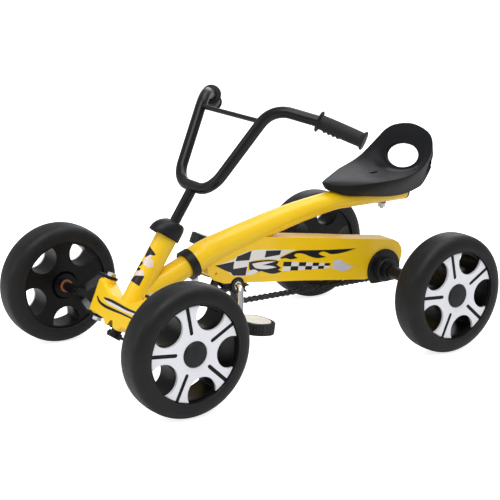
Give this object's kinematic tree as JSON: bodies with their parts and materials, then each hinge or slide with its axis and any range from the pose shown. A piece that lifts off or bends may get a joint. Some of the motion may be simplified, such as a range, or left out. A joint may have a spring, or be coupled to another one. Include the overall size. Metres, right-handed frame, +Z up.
{
  "type": "pedal go kart",
  "caption": "Child's ride-on kart: arched frame with chain case, rocking steered front axle, bent handlebar, moulded seat and chain-driven rear axle",
  "frame": {"origin": "ground level on the centre plane, midway between the axles", "axes": "+X forward, +Y to the rider's left, +Z up"},
  "size_m": [0.86, 0.548, 0.5042],
  "materials": {
    "yellow_paint": "glossy powder coat",
    "black_plastic": "fine-grain moulded plastic",
    "black_paint": "satin black powder coat",
    "zinc_steel": "zinc plated",
    "bush_nylon": "brown bearing plastic",
    "chain_steel": "oiled dark steel",
    "crank_chrome": "polished chrome plate",
    "pedal_plastic": "moulded black plastic",
    "pedal_pad": "pale grey tread insert",
    "grip_rubber": "soft matt rubber",
    "seat_plastic": "grained moulded plastic",
    "tyre_foam": "smooth closed-cell foam",
    "rim_plastic": "black moulded plastic",
    "cover_silver": "silver painted plastic",
    "cap_black": "black moulded plastic"
  },
  "bodies": {
    "frame": {"main_beam": "yellow_paint", "swing_collar": "black_plastic", "swing_stop_bolt": "zinc_steel", "chain_case_left": "yellow_paint", "chain_case_right": "yellow_paint", "case_screws": "zinc_steel", "crank_hanger": "black_paint", "crank_bushes": "bush_nylon", "axle_bearings": "black_plastic", "drive_chain": "chain_steel", "beam_end_plug": "black_plastic"},
    "front_frame": {"neck_tube": "yellow_paint", "head_tube": "yellow_paint", "front_beam": "yellow_paint", "head_cap": "black_plastic", "column_bushes": "black_plastic", "kingpin_bolts": "zinc_steel"},
    "steering": {"steering_column": "black_paint", "steering_lever": "black_paint", "handlebar": "black_paint", "handlebar_brace": "black_paint", "grip_left": "grip_rubber", "grip_right": "grip_rubber"},
    "knuckle_left": {"knuckle_left": "black_paint", "wheel_nut_front_left": "zinc_steel"},
    "knuckle_right": {"knuckle_right": "black_paint", "wheel_nut_front_right": "zinc_steel"},
    "tie_rod_left": {"tie_rod_left": "black_paint"},
    "tie_rod_right": {"tie_rod_right": "black_paint"},
    "rear_axle": {"rear_axle": "zinc_steel", "axle_sleeves": "black_plastic", "rear_sprocket": "chain_steel", "axle_nuts": "zinc_steel", "tyre_rear_left": "tyre_foam", "rim_rear_left": "rim_plastic", "hub_cover_rear_left": "cover_silver", "centre_cap_rear_left": "cap_black"},
    "crank": {"crank": "crank_chrome", "chainwheel": "chain_steel"},
    "pedal_left": {"pedal_left": "pedal_plastic", "pedal_pads_left": "pedal_pad"},
    "pedal_right": {"pedal_right": "pedal_plastic", "pedal_pads_right": "pedal_pad"},
    "seat": {"seat_shell": "seat_plastic", "seat_bolt": "zinc_steel"},
    "wheel_front_left": {"tyre_front_left": "tyre_foam", "rim_front_left": "rim_plastic", "hub_cover_front_left": "cover_silver", "centre_cap_front_left": "cap_black", "wheel_bushes_front_left": "bush_nylon"},
    "wheel_front_right": {"tyre_front_right": "tyre_foam", "rim_front_right": "rim_plastic", "hub_cover_front_right": "cover_silver", "centre_cap_front_right": "cap_black", "wheel_bushes_front_right": "bush_nylon"},
    "wheel_rear_right": {"tyre_rear_right": "tyre_foam", "rim_rear_right": "rim_plastic", "hub_cover_rear_right": "cover_silver", "centre_cap_rear_right": "cap_black", "wheel_bushes_rear_right": "bush_nylon"}
  },
  "joints": [
    {"name": "front_swing", "type": "hinge", "parent": "frame", "child": "front_frame", "pos_m": [0.21, 0, 0.17], "axis": [-0.9298, 0, 0.3681], "range_deg": [-8, 8]},
    {"name": "steering_turn", "type": "hinge", "parent": "front_frame", "child": "steering", "pos_m": [0.206, 0, 0.2501], "axis": [-0.5446, 0, 0.8387], "range_deg": [-28, 28]},
    {"name": "kingpin_turn_left", "type": "hinge", "parent": "front_frame", "child": "knuckle_left", "pos_m": [0.295, 0.078, 0.13], "axis": [-0.3746, 0, 0.9272], "range_deg": [-28, 28]},
    {"name": "kingpin_turn_right", "type": "hinge", "parent": "front_frame", "child": "knuckle_right", "pos_m": [0.295, -0.078, 0.13], "axis": [-0.3746, 0, 0.9272], "range_deg": [-28, 28]},
    {"name": "tie_rod_swing_left", "type": "hinge", "parent": "steering", "child": "tie_rod_left", "pos_m": [0.28357, 0, 0.05721], "axis": [-0.5446, 0, 0.8387], "range_deg": [-28, 28]},
    {"name": "tie_rod_swing_right", "type": "hinge", "parent": "steering", "child": "tie_rod_right", "pos_m": [0.28357, 0, 0.05721], "axis": [-0.5446, 0, 0.8387], "range_deg": [-28, 28]},
    {"name": "wheel_spin_front_left", "type": "hinge", "parent": "knuckle_left", "child": "wheel_front_left", "pos_m": [0.31, 0.241, 0.12], "axis": [0, 1, 0], "continuous": true},
    {"name": "wheel_spin_front_right", "type": "hinge", "parent": "knuckle_right", "child": "wheel_front_right", "pos_m": [0.31, -0.241, 0.12], "axis": [0, 1, 0], "continuous": true},
    {"name": "rear_axle_spin", "type": "hinge", "parent": "frame", "child": "rear_axle", "pos_m": [-0.31, 0, 0.12], "axis": [0, 1, 0], "continuous": true, "deforming": ["drive_chain"]},
    {"name": "wheel_spin_rear_right", "type": "hinge", "parent": "rear_axle", "child": "wheel_rear_right", "pos_m": [-0.31, -0.221, 0.12], "axis": [0, 1, 0], "continuous": true},
    {"name": "crank_spin", "type": "hinge", "parent": "frame", "child": "crank", "pos_m": [0.0574, 0, 0.14], "axis": [0, 1, 0], "continuous": true, "deforming": ["drive_chain"]},
    {"name": "pedal_spin_left", "type": "hinge", "parent": "crank", "child": "pedal_left", "pos_m": [0.0734, 0.106, 0.08529], "axis": [0, 1, 0], "continuous": true},
    {"name": "pedal_spin_right", "type": "hinge", "parent": "crank", "child": "pedal_right", "pos_m": [0.0414, -0.106, 0.19471], "axis": [0, 1, 0], "continuous": true},
    {"name": "seat_slide", "type": "slide", "parent": "frame", "child": "seat", "axis": [1, 0, 0], "range_m": [-0.025, 0.025]}
  ],
  "couplings": [
    {"joint": "kingpin_turn_left", "follows": "steering_turn", "ratio": 1},
    {"joint": "kingpin_turn_right", "follows": "steering_turn", "ratio": 1},
    {"joint": "tie_rod_swing_left", "follows": "steering_turn", "ratio": -1},
    {"joint": "tie_rod_swing_right", "follows": "steering_turn", "ratio": -1},
    {"joint": "crank_spin", "follows": "rear_axle_spin", "ratio": 0.6}
  ]
}
